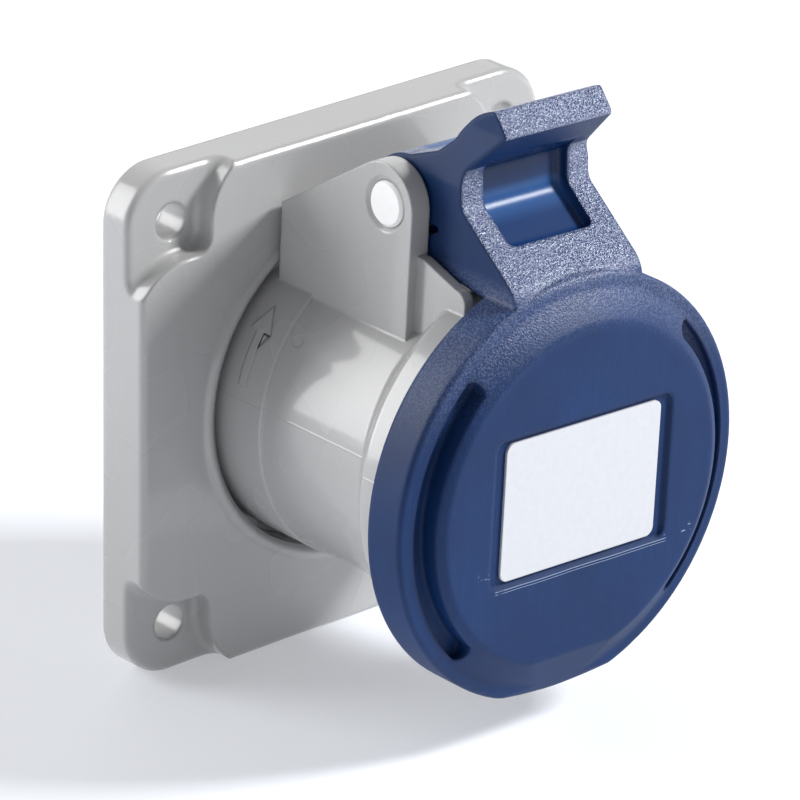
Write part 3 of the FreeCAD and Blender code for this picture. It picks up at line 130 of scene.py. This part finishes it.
class Graph:
    """Short names for building one node material."""

    def __init__(self, name):
        self.material = bpy.data.materials.new(name)
        self.material.use_nodes = True
        self.tree = self.material.node_tree
        self.tree.nodes.clear()
        out = self.add("OutputMaterial")
        self.shader = self.add("BsdfPrincipled")
        self.link(self.shader.outputs[0], out.inputs[0])
        self.coords = self.add("TexCoord").outputs["Object"]
        self.front = self.upright(self.coords)

    def add(self, kind):
        return self.tree.nodes.new("ShaderNode" + kind)

    def link(self, a, b):
        self.tree.links.new(a, b)

    def feed(self, socket, value):
        """Links another node's output, or sets a plain value."""
        if hasattr(value, "links"):
            self.link(value, socket)
        else:
            socket.default_value = value

    def upright(self, vector):
        """A vector of the row frame, turned into the upright front half."""
        turned = self.add("Mapping")
        turned.inputs["Rotation"].default_value = (0, -TURN, 0)
        self.link(vector, turned.inputs[0])
        return turned.outputs[0]

    def axes(self, vector):
        node = self.add("SeparateXYZ")
        self.link(vector, node.inputs[0])
        return node.outputs

    def math(self, operation, *values):
        node = self.add("Math")
        node.operation = operation
        for socket, value in zip(node.inputs, values):
            self.feed(socket, value)
        return node.outputs[0]

    def vector_math(self, operation, *vectors):
        node = self.add("VectorMath")
        node.operation = operation
        for socket, vector in zip(node.inputs, vectors):
            self.feed(socket, vector)
        return node.outputs

    def times(self, first, *others):
        """The product of some values."""
        for other in others:
            first = self.math("MULTIPLY", first, other)
        return first

    def most(self, first, *others):
        """The greatest of some values."""
        for other in others:
            first = self.math("MAXIMUM", first, other)
        return first

    def rest_of(self, value):
        """What is left of one."""
        return self.math("SUBTRACT", 1.0, value)

    def noise(self, scale, detail=3.0, roughness=0.6, vector=None, stretch=None):
        """Cloudy noise; the scale is its number of cells in a metre."""
        node = self.add("TexNoise")
        node.inputs["Scale"].default_value = scale
        node.inputs["Detail"].default_value = detail
        node.inputs["Roughness"].default_value = roughness
        source = vector or self.coords
        if stretch:
            squeezed = self.add("Mapping")
            squeezed.inputs["Scale"].default_value = stretch
            self.link(source, squeezed.inputs[0])
            source = squeezed.outputs[0]
        self.link(source, node.inputs["Vector"])
        return node.outputs["Fac"]

    def cells(self, scale):
        """Distance from the middle of small cells; the scale is their number in a metre."""
        node = self.add("TexVoronoi")
        node.inputs["Scale"].default_value = scale
        self.link(self.coords, node.inputs["Vector"])
        return node.outputs["Distance"]

    def ramp(self, value, low, high, out_low=0.0, out_high=1.0, smooth=False):
        """The value's way from low to high, as a number from out_low to out_high."""
        node = self.add("MapRange")
        node.interpolation_type = "SMOOTHSTEP" if smooth else "LINEAR"
        for socket, number in zip(node.inputs, (value, low, high, out_low, out_high)):
            self.feed(socket, number)
        return node.outputs[0]

    def ramp_mm(self, value, pair, smooth=False):
        """A ramp from 0 to 1 over a pair in millimetres."""
        return self.ramp(value, pair[0] * MM, pair[1] * MM, smooth=smooth)

    def mix(self, factor, a, b):
        """A colour between two others."""
        node = self.add("Mix")
        node.data_type = "RGBA"
        self.feed(node.inputs[0], factor)
        self.feed(node.inputs[6], a)
        self.feed(node.inputs[7], b)
        return node.outputs[2]

    def tint(self, color, where, strength, tone):
        """The colour, mixed with a tone where the mask says."""
        return self.mix(self.math("MULTIPLY", where, strength), color, tone)

    def blend(self, factor, a, b):
        """A number between two others."""
        node = self.add("Mix")
        self.feed(node.inputs[0], factor)
        self.feed(node.inputs[2], a)
        self.feed(node.inputs[3], b)
        return node.outputs[0]

    def rounded(self, radius):
        """Normal with edges rounded by a radius in millimetres."""
        node = self.add("Bevel")
        node.samples = 6
        node.inputs["Radius"].default_value = radius * MM
        return node.outputs[0]

    def painted_edge_highlight(self, normal):
        """Where a rounded normal differs from the plain one; the mask of the painted edge highlights."""
        plain = self.add("NewGeometry").outputs["Normal"]
        agreement = self.vector_math("DOT_PRODUCT", normal, plain)["Value"]
        return self.ramp(agreement, *EDGE_HIGHLIGHT_RANGE)

    def bump(self, height, depth, normal=None, strength=1.0):
        """Normal with a relief on it, its depth in millimetres."""
        node = self.add("Bump")
        node.inputs["Distance"].default_value = depth * MM
        self.feed(node.inputs["Strength"], strength)
        self.link(height, node.inputs["Height"])
        if normal is not None:
            self.link(normal, node.inputs["Normal"])
        return node.outputs[0]

    def finish(self, color, roughness, normal, **sockets):
        """Feeds the shader; further sockets go by their names with underscores."""
        self.feed(self.shader.inputs["Base Color"], color)
        self.feed(self.shader.inputs["Roughness"], roughness)
        self.link(normal, self.shader.inputs["Normal"])
        for name, value in sockets.items():
            self.feed(self.shader.inputs[name.replace("_", " ")], value)
        return self.material


def rgb(r, g, b):
    """A display colour from 0 to 255 as a linear one."""
    def line(v):
        v /= 255
        return v / 12.92 if v <= 0.04045 else ((v + 0.055) / 1.055) ** 2.4
    return (line(r), line(g), line(b), 1.0)


def scaled(color, factor, most=1.0):
    """A colour made lighter or darker by a factor."""
    return tuple(min(v * factor, most) for v in color[:3]) + (1.0,)


# Materials

def grey_plastic(name, tone, bevel, marked=False):
    """Glossy moulded plastic with a faint grain, slight cloudiness and painted highlights on its edges."""
    g = Graph(name)
    normal = g.rounded(bevel)
    fine = g.noise(scale=5200.0, detail=2.0, roughness=0.5)
    speckle = g.math("MULTIPLY", g.math("SUBTRACT", fine, 0.5), 0.7)
    cloud = g.math("ADD", g.noise(scale=35.0, detail=1.0), speckle)
    base = rgb(*tone)
    color = g.mix(g.ramp(cloud, 0.2, 0.8, smooth=True), scaled(base, 0.98), scaled(base, 1.02))
    # painted highlight: the colour is lighter along the rounded edges
    color = g.tint(color, g.painted_edge_highlight(normal), 0.4, scaled(base, 1.18, most=0.95))
    rough = g.ramp(g.noise(scale=60.0, detail=1.0), 0.2, 0.8, 0.25, 0.29, smooth=True)
    waves = g.bump(g.noise(scale=90.0, detail=2.0), depth=0.08, normal=normal, strength=0.5)
    if marked:
        waves = moulding_marks(g, waves)
    bumped = g.bump(fine, depth=0.006, normal=waves, strength=0.6)
    return g.finish(color, rough, bumped, Coat_Normal=waves, Coat_Weight=0.55, Coat_Roughness=0.07)


def moulding_marks(g, normal):
    """The ejector's round mark on the barrel, and the faint parting line beside it."""
    middle = tuple(v * MM for v in EJECTOR_MARK)
    offset = g.vector_math("SUBTRACT", g.front, middle)["Vector"]
    dot = g.ramp_mm(g.vector_math("LENGTH", offset)["Value"], MARK_RIM)
    x, _, z = g.axes(g.front)
    away = g.math("ABSOLUTE", g.math("SUBTRACT", z, PARTING_UP * MM))
    line = g.times(g.ramp_mm(away, PARTING_WIDTH), g.ramp_mm(x, PARTING_ACROSS))
    relief = g.math("SUBTRACT", g.math("MULTIPLY", line, 0.3), dot)
    return g.bump(relief, depth=0.12, normal=normal, strength=0.8)


def scoop_masks(g, x, y, z, backward):
    """Where the scoop's floor is, and where its floor or its back wall is."""
    into_slope = g.math("ADD", g.math("MULTIPLY", y, SLOPE_INWARD[0]), g.math("MULTIPLY", z, SLOPE_INWARD[1]))
    at_slope = sum(place * part for place, part in zip(SLOPE_FOOT, SLOPE_INWARD)) * MM
    depth = g.math("SUBTRACT", into_slope, at_slope)
    between = g.ramp_mm(g.math("ABSOLUTE", x), SCOOP_SIDE, smooth=True)
    floor = g.times(g.ramp_mm(depth, SCOOP_DEPTH, smooth=True), g.ramp_mm(z, SCOOP_TOP))
    wall = g.times(g.ramp_mm(z, WALL_LOW), g.ramp_mm(y, WALL_FRONT), g.ramp_mm(z, WALL_TOP),
                   g.ramp(backward, *FRONT_SIDE))
    return g.times(between, floor), g.times(between, g.most(floor, wall))


def lid_masks(g, x, y, z):
    """Masks of the scoop's floor, the polish, the smooth flanks, the coarse relief and the ring's relief."""
    sideways, backward, upward = g.axes(g.upright(g.add("TexCoord").outputs["Normal"]))
    on_neck = g.ramp_mm(z, RELIEF_UP, smooth=True)
    floor, scoop = scoop_masks(g, x, y, z, backward)
    polished = g.times(scoop, on_neck)
    flank = g.ramp(g.math("ABSOLUTE", sideways), *FLANK_TURN)
    throat = g.times(g.ramp_mm(z, THROAT_UP), g.ramp(upward, *UNDERSIDE), g.ramp(backward, *NOT_AHEAD))
    coarse = g.times(on_neck, g.rest_of(g.most(polished, flank, throat)))
    away = g.math("SQRT", g.math("ADD", g.math("MULTIPLY", x, x), g.math("MULTIPLY", z, z)))
    ring = g.times(g.ramp_mm(away, RING_AWAY, smooth=True), g.ramp_mm(z, RING_UP, smooth=True),
                   g.rest_of(on_neck))
    return g.times(floor, on_neck), polished, flank, coarse, ring


def lid_color(g, pits, floor, scoop_low_shade, relief, edge, scratch):
    """Cloudy, faintly streaked blue with lighter scratches; painted light in the scoop, painted glints on the
    coarse relief, painted shade at the scoop's lower end and painted highlights on edges.
    """
    face = rgb(10, 46, 94)
    darker = scaled(face, 0.8)
    cloud = g.noise(scale=60.0, detail=4.0)
    streaks = g.noise(scale=900.0, detail=2.0, roughness=0.5, vector=g.front, stretch=(1.0, 1.0, 0.1))
    # painted glints: the coarse relief's raised pits are lighter, the highest of them nearly white
    painted_facet_glints = g.math("MULTIPLY", g.ramp(pits, 0.45, 0.95), 0.55)
    painted_sparkle = g.math("MULTIPLY", g.ramp(pits, 0.80, 0.92), 0.3)
    color = g.mix(g.ramp(cloud, 0.2, 0.8, smooth=True), darker, scaled(face, 1.2))
    for where, strength, tone in (
        (g.ramp(streaks, 0.4, 0.65), 0.35, darker),
        # painted light: the scoop's floor is a lighter blue
        (floor, 1.0, rgb(42, 84, 140)),
        # painted shade: darker towards the scoop's lower end
        (scoop_low_shade, 0.9, rgb(0, 44, 96)),
        # painted glints on the coarse relief
        (relief, painted_facet_glints, rgb(84, 104, 158)),
        (relief, painted_sparkle, rgb(190, 200, 228)),
        # painted highlight: lighter along the rounded edges
        (edge, 0.3, rgb(40, 66, 116)),
        (scratch, 0.7, rgb(168, 184, 214)),
    ):
        color = g.tint(color, where, strength, tone)
    return color


def lid_plastic():
    """Blue moulded plastic: fine matt grain in front, spark eroded neck and lip, polished scoop."""
    g = Graph("lid_blue")
    normal = g.rounded(1.0)
    x, y, z = g.axes(g.front)
    floor, polished, flank, coarse, ring = lid_masks(g, x, y, z)
    # mask of the painted shade at the scoop's lower end
    scoop_low_shade = g.times(polished, g.ramp_mm(z, SCOOP_SHADE_LOW, smooth=True))
    relief = g.math("ADD", coarse, g.math("MULTIPLY", ring, 0.35))
    pits = g.math("ADD", g.noise(scale=4300.0, detail=1.0, roughness=0.5),
                  g.math("MULTIPLY", g.cells(scale=3100.0), 0.6))
    grain = g.noise(scale=4200.0, detail=2.0)
    height = g.blend(relief, g.math("MULTIPLY", grain, 0.34), g.math("MULTIPLY", pits, 1.2))
    height = g.blend(g.most(polished, flank), height, 0.3)
    scratch = recess_scratches(g, x, y, z)
    bumped = g.bump(height, depth=0.2, normal=normal, strength=g.blend(polished, 0.9, 0.0))
    bumped = g.bump(scratch, depth=0.1, normal=bumped, strength=0.7)
    color = lid_color(g, pits, floor, scoop_low_shade, relief, g.painted_edge_highlight(normal), scratch)
    rough = g.blend(polished, g.blend(relief, 0.52, 0.33), 0.27)
    return g.finish(color, rough, bumped, Coat_Normal=bumped, Specular_IOR_Level=g.blend(relief, 0.26, 1.0),
                    Coat_Weight=g.math("MULTIPLY", coarse, 0.9), Coat_Roughness=0.26)


def recess_scratches(g, x, y, z):
    """Fine bright scratches along the lower edge of the label's recess, with specks at its ends."""
    breaks = g.noise(scale=420.0, detail=3.0, roughness=0.7, vector=g.front, stretch=(1.0, 1.0, 0.2))
    broken = g.ramp(breaks, 0.36, 0.44)
    along = g.times(*(g.ramp_mm(x, end) for end in SCRATCH_ENDS))
    drift = g.math("MULTIPLY", g.noise(scale=120.0, detail=1.0), SCRATCH_DRIFT * MM)
    lines = []
    for up, half_width in SCRATCHES:
        away = g.math("ABSOLUTE", g.math("SUBTRACT", g.math("ADD", z, drift), up * MM))
        lines.append(g.ramp_mm(away, (half_width, half_width * 0.4)))
    scratches = g.times(g.most(*lines), along, broken)
    flecks = g.noise(scale=1500.0, detail=2.0, vector=g.front, stretch=(0.35, 1.0, 1.0))
    fields = []
    for left, right, low, high in SPECK_FIELDS:
        fields.append(g.times(g.ramp_mm(x, left), g.ramp_mm(x, right), g.ramp_mm(z, low), g.ramp_mm(z, high)))
    specks = g.times(g.ramp(flecks, 0.6, 0.64), g.most(*fields))
    return g.times(g.most(scratches, specks), g.ramp_mm(y, LABEL_FRONT))


def label_film():
    """White film with a faint paper-like grain."""
    g = Graph("label_white")
    normal = g.rounded(0.2)
    fibre = g.noise(scale=900.0)
    color = g.mix(g.ramp(fibre, 0.3, 0.7), rgb(206, 208, 213), rgb(211, 213, 218))
    rough = g.ramp(fibre, 0.3, 0.7, 0.42, 0.5)
    return g.finish(color, rough, g.bump(fibre, depth=0.004, normal=normal, strength=0.4))


def dark_plastic(name, tone):
    """Matt insulating plastic with painted highlights on its edges."""
    g = Graph(name)
    normal = g.rounded(0.3)
    grain = g.noise(scale=2500.0, detail=2.0)
    base = rgb(*tone)
    color = g.mix(g.ramp(g.noise(scale=80.0, detail=4.0), 0.3, 0.7), base, scaled(base, 1.25))
    # painted highlight: the colour is lighter along the rounded edges
    color = g.tint(color, g.painted_edge_highlight(normal), 0.3, scaled(base, 2.2))
    rough = g.ramp(grain, 0.3, 0.7, 0.42, 0.55)
    return g.finish(color, rough, g.bump(grain, depth=0.02, normal=normal, strength=0.6))


def seal_rubber():
    """Dull black rubber with some dust."""
    g = Graph("seal_black")
    normal = g.rounded(0.3)
    dust = g.noise(scale=300.0, detail=6.0, roughness=0.7)
    color = g.mix(g.ramp(dust, 0.45, 0.75), rgb(38, 38, 40), rgb(62, 61, 60))
    rough = g.ramp(dust, 0.3, 0.7, 0.6, 0.78)
    return g.finish(color, rough, g.bump(g.noise(scale=2200.0), depth=0.03, normal=normal))


def metal(name, tone, rough_low, rough_high, stretch):
    """Drawn or turned metal with fine tool marks along one direction."""
    g = Graph(name)
    normal = g.rounded(0.15)
    marks = g.noise(scale=1800.0, vector=g.front, stretch=stretch)
    tarnish = g.noise(scale=220.0, detail=5.0)
    base = rgb(*tone)
    color = g.tint(base, g.ramp(tarnish, 0.45, 0.75), 0.6, scaled(base, 0.72))
    # painted highlight: the colour is lighter along the rounded edges
    color = g.tint(color, g.painted_edge_highlight(normal), 0.5, scaled(base, 1.25))
    rough = g.ramp(marks, 0.3, 0.7, rough_low, rough_high)
    return g.finish(color, rough, g.bump(marks, depth=0.01, normal=normal, strength=0.7), Metallic=1.0)


def pin_white():
    """White plastic of the hinge pin."""
    g = Graph("pin_white")
    normal = g.rounded(0.3)
    dust = g.noise(scale=700.0, detail=4.0)
    color = g.mix(g.ramp(dust, 0.4, 0.7), rgb(252, 252, 252), rgb(248, 248, 247))
    rough = g.ramp(dust, 0.3, 0.7, 0.3, 0.42)
    return g.finish(color, rough, g.bump(dust, depth=0.005, normal=normal, strength=0.5))


flange_grey = grey_plastic("flange_grey", (176, 176, 176), bevel=0.9)
housing_grey = grey_plastic("housing_grey", (178, 178, 178), bevel=0.5, marked=True)
brass = metal("contact_brass", (214, 182, 112), rough_low=0.22, rough_high=0.36, stretch=(1.0, 0.1, 1.0))
steel = metal("plated_steel", (198, 198, 196), rough_low=0.24, rough_high=0.4, stretch=(0.2, 1.0, 1.0))
rubber = seal_rubber()
tube_grey = dark_plastic("retainer_grey", (88, 90, 94))
FINISH = {
    "mounting_flange": flange_grey,
    "front_housing": housing_grey,
    "flange_gasket": rubber,
    "housing_seal": rubber,
    "contact_carrier": dark_plastic("carrier_grey", (58, 60, 64)),
    "insulating_tubes": tube_grey,
    "contact_retainer": tube_grey,
    "live_contact": brass,
    "neutral_contact": brass,
    "earth_contact": brass,
    "live_spring_ring": steel,
    "neutral_spring_ring": steel,
    "earth_spring_ring": steel,
    "terminal_screws": steel,
    "carrier_screws": steel,
    "retainer_screws": steel,
    "hinge_pin": pin_white(),
    "lid_spring": steel,
    "lid": lid_plastic(),
    "lid_gasket": rubber,
    "lid_label": label_film(),
}

for name, node in nodes.items():
    if not node.material_slots:
        node.data.materials.append(FINISH[name])
    for slot in node.material_slots:
        slot.material = FINISH[name]


# Raised arrow on the collar

def arrow_points():
    """The arrow's outline, with more points where it goes round the collar."""
    points = []
    for start, end in zip(ARROW_OUTLINE, ARROW_OUTLINE[1:] + ARROW_OUTLINE[:1]):
        parts = max(1, round(abs(end[0] - start[0]) / ARROW_STEP))
        for i in range(parts):
            points.append([a + (b - a) * i / parts for a, b in zip(start, end)])
    return points


def make_arrow():
    """Turning arrow on the collar's left side, as a thin curved plate."""
    points = arrow_points()
    mesh = bmesh.new()
    rings = []
    for radius in ARROW_RADII:
        ring = []
        for degrees, y in points:
            angle = math.radians(degrees)
            corner = to_row(radius * math.cos(angle), ARROW_MIDDLE + y, radius * math.sin(angle))
            ring.append(mesh.verts.new(corner))
        rings.append(ring)
    inner, outer = rings
    for i in range(len(points)):
        j = (i + 1) % len(points)
        mesh.faces.new((inner[i], inner[j], outer[j], outer[i]))
    for ring in rings:
        cap = mesh.faces.new(ring)
        bmesh.ops.triangulate(mesh, faces=[cap])
    bmesh.ops.recalc_face_normals(mesh, faces=mesh.faces)
    data = bpy.data.meshes.new("collar_arrow")
    mesh.to_mesh(data)
    mesh.free()
    arrow = bpy.data.objects.new("collar_arrow", data)
    scene.collection.objects.link(arrow)
    data.materials.append(housing_grey)
    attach(arrow, "socket_front")


make_arrow()


# Floor, lights and camera

def make_floor(low):
    """Wide pale floor just under the object."""
    bpy.ops.mesh.primitive_plane_add(size=FLOOR_SIZE, location=(0, 0, low - FLOOR_GAP))
    floor = bpy.context.object
    floor.name = "floor"
    g = Graph("floor_pale")
    soft = g.noise(scale=3.0, detail=2.0)
    color = g.mix(g.ramp(soft, 0.3, 0.7), rgb(216, 219, 226), rgb(220, 223, 229))
    g.finish(color, 0.6, g.bump(g.noise(scale=900.0), depth=0.01),
             Emission_Color=(0.97, 0.98, 1.0, 1.0), Emission_Strength=0.3)
    floor.data.materials.append(g.material)


def area_light(name, place, aim, size, power):
    """White rectangular light that looks at a point."""
    data = bpy.data.lights.new(name, "AREA")
    data.shape = "RECTANGLE"
    data.size, data.size_y = size
    data.energy = power
    light = bpy.data.objects.new(name, data)
    scene.collection.objects.link(light)
    light.location = place
    direction = Vector(aim) - Vector(place)
    light.rotation_euler = direction.to_track_quat("-Z", "Y").to_euler()


def make_sky():
    """Even pale light from all round."""
    world = bpy.data.worlds.new("studio")
    scene.world = world
    world.use_nodes = True
    background = world.node_tree.nodes["Background"]
    background.inputs[0].default_value = SKY_COLOR
    background.inputs[1].default_value = SKY_STRENGTH


def make_camera():
    """Camera with the photograph's view."""
    eye = Vector(CAMERA_EYE)
    data = bpy.data.cameras.new("camera")
    data.sensor_width = CAMERA_SENSOR
    data.lens = CAMERA_LENS
    data.clip_start = CAMERA_NEAR
    camera = bpy.data.objects.new("camera", data)
    scene.collection.objects.link(camera)
    turned = (Vector(CAMERA_AIM) - eye).to_track_quat("-Z", "Y").to_matrix()
    roll = Matrix.Rotation(CAMERA_ROLL, 3, "Z")
    camera.matrix_world = Matrix.Translation(eye) @ (turned @ roll).to_4x4()
    scene.camera = camera


make_floor(cad_box[0][2])
for name, (place, aim, size, power) in LIGHTS.items():
    area_light(name, place, aim, size, power)
make_sky()
scene.view_settings.view_transform = "Standard"
make_camera()
